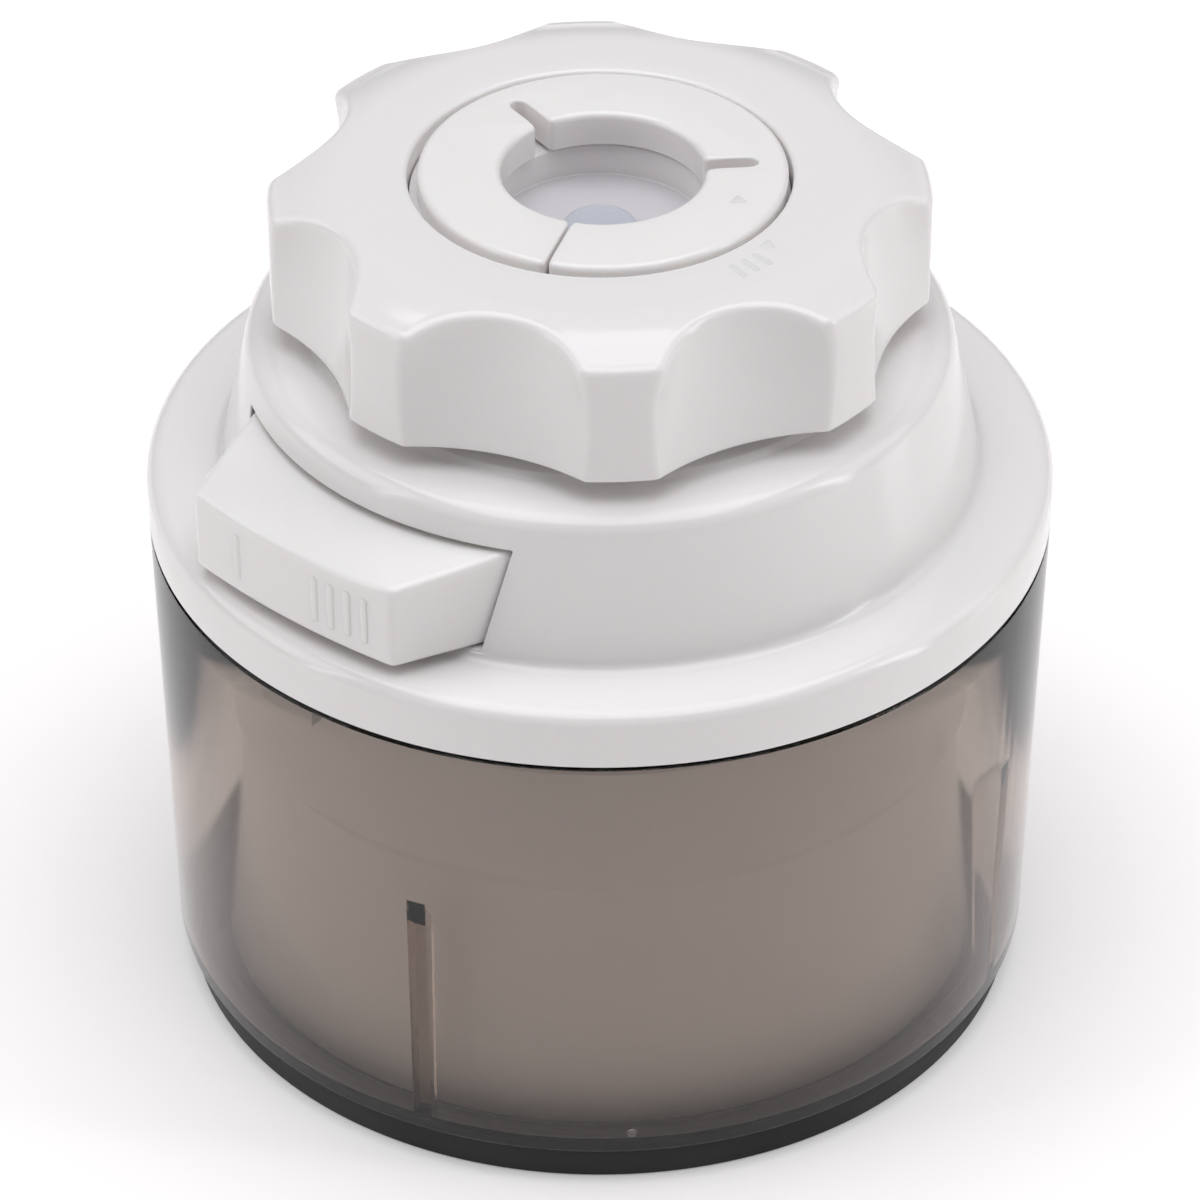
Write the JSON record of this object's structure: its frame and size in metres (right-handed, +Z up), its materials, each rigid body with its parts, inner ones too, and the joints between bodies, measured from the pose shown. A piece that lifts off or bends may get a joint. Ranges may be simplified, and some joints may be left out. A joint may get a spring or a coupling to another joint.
{
  "type": "food processor",
  "caption": "Round food-processor attachment: smoke-clear bowl with a white inner bowl, white lid with a gearbox hub, lobed clamp knob and split collet for a hand blender.",
  "frame": {"origin": "on the turning axis, on the surface that the base ring stands on", "axes": "+Z up along the turning axis, -Y the front, +X to the right seen from the front"},
  "size_m": [0.16, 0.16, 0.1621],
  "materials": {
    "white_gloss": "smooth moulded gloss",
    "ivory_gloss": "smooth moulded gloss, slightly warmer",
    "smoke_clear": "clear plastic with a smoke tint",
    "black_rubber": "matt non-slip",
    "nylon": "natural nylon",
    "blue_nylon": "translucent bluish",
    "steel": "ground stainless",
    "bronze": "sintered"
  },
  "bodies": {
    "bowl_base": {"base_ring": "black_rubber", "outer_bowl": "smoke_clear", "spindle_pin": "steel"},
    "inner_bowl": {"inner_bowl": "white_gloss"},
    "blades": {"blade_hub": "nylon", "lower_blade": "steel", "upper_blade": "steel"},
    "lid": {"lid": "white_gloss", "plug_ring": "white_gloss", "lid_seal": "black_rubber", "knob_retainer": "white_gloss", "knob_washer": "nylon", "input_bearing": "steel", "bearing_clip": "steel", "ring_gear": "nylon", "gearbox_cover": "white_gloss", "carrier_bush": "bronze", "shaft_seal": "black_rubber", "cover_screw_1": "steel", "cover_screw_2": "steel", "cover_screw_3": "steel", "cover_screw_4": "steel", "button_spring": "steel"},
    "knob": {"clamp_knob": "white_gloss"},
    "collet": {"split_collet": "white_gloss"},
    "button": {"release_button": "ivory_gloss", "latch_slide": "nylon"},
    "input_drive": {"drive_coupling": "blue_nylon", "input_shaft": "steel", "sun_gear": "steel"},
    "carrier": {"planet_carrier": "steel", "output_shaft": "steel", "planet_pin_1": "steel", "planet_pin_2": "steel", "planet_pin_3": "steel"},
    "planet_1": {"planet_gear_1": "nylon"},
    "planet_2": {"planet_gear_2": "nylon"},
    "planet_3": {"planet_gear_3": "nylon"}
  },
  "joints": [
    {"name": "inner_bowl_lift", "type": "slide", "parent": "bowl_base", "child": "inner_bowl", "axis": [0, 0, 1], "range_m": [0, 0.1]},
    {"name": "lid_lift", "type": "slide", "parent": "inner_bowl", "child": "lid", "axis": [0, 0, 1], "range_m": [0, 0.08]},
    {"name": "blade_spin", "type": "hinge", "parent": "inner_bowl", "child": "blades", "pos_m": [0, 0, 0], "axis": [0, 0, 1], "continuous": true},
    {"name": "knob_turn", "type": "hinge", "parent": "lid", "child": "knob", "pos_m": [0, 0, 0.137], "axis": [0, 0, 1], "range_deg": [0, 90]},
    {"name": "collet_rise", "type": "slide", "parent": "lid", "child": "collet", "axis": [0, 0, 1], "range_m": [0, 0.0016]},
    {"name": "button_press", "type": "slide", "parent": "lid", "child": "button", "axis": [0.6896, 0.7242, 0], "range_m": [0, 0.004], "stiffness_N_per_m": 600, "springref_m": -0.004, "deforming": ["button_spring"]},
    {"name": "drive_spin", "type": "hinge", "parent": "lid", "child": "input_drive", "pos_m": [0, 0, 0.148], "axis": [0, 0, 1], "continuous": true},
    {"name": "carrier_spin", "type": "hinge", "parent": "lid", "child": "carrier", "pos_m": [0, 0, 0.107], "axis": [0, 0, 1], "continuous": true},
    {"name": "planet_1_spin", "type": "hinge", "parent": "carrier", "child": "planet_1", "pos_m": [0.0225, 0, 0.112], "axis": [0, 0, 1], "continuous": true},
    {"name": "planet_2_spin", "type": "hinge", "parent": "carrier", "child": "planet_2", "pos_m": [-0.01125, 0.01949, 0.112], "axis": [0, 0, 1], "continuous": true},
    {"name": "planet_3_spin", "type": "hinge", "parent": "carrier", "child": "planet_3", "pos_m": [-0.01125, -0.01949, 0.112], "axis": [0, 0, 1], "continuous": true}
  ],
  "couplings": [
    {"joint": "blade_spin", "follows": "carrier_spin", "ratio": 1},
    {"joint": "drive_spin", "follows": "carrier_spin", "ratio": 5},
    {"joint": "planet_1_spin", "follows": "carrier_spin", "ratio": -2.6667},
    {"joint": "planet_2_spin", "follows": "carrier_spin", "ratio": -2.6667},
    {"joint": "planet_3_spin", "follows": "carrier_spin", "ratio": -2.6667},
    {"joint": "collet_rise", "follows": "knob_turn", "m_per_rad": 0.00095493}
  ]
}
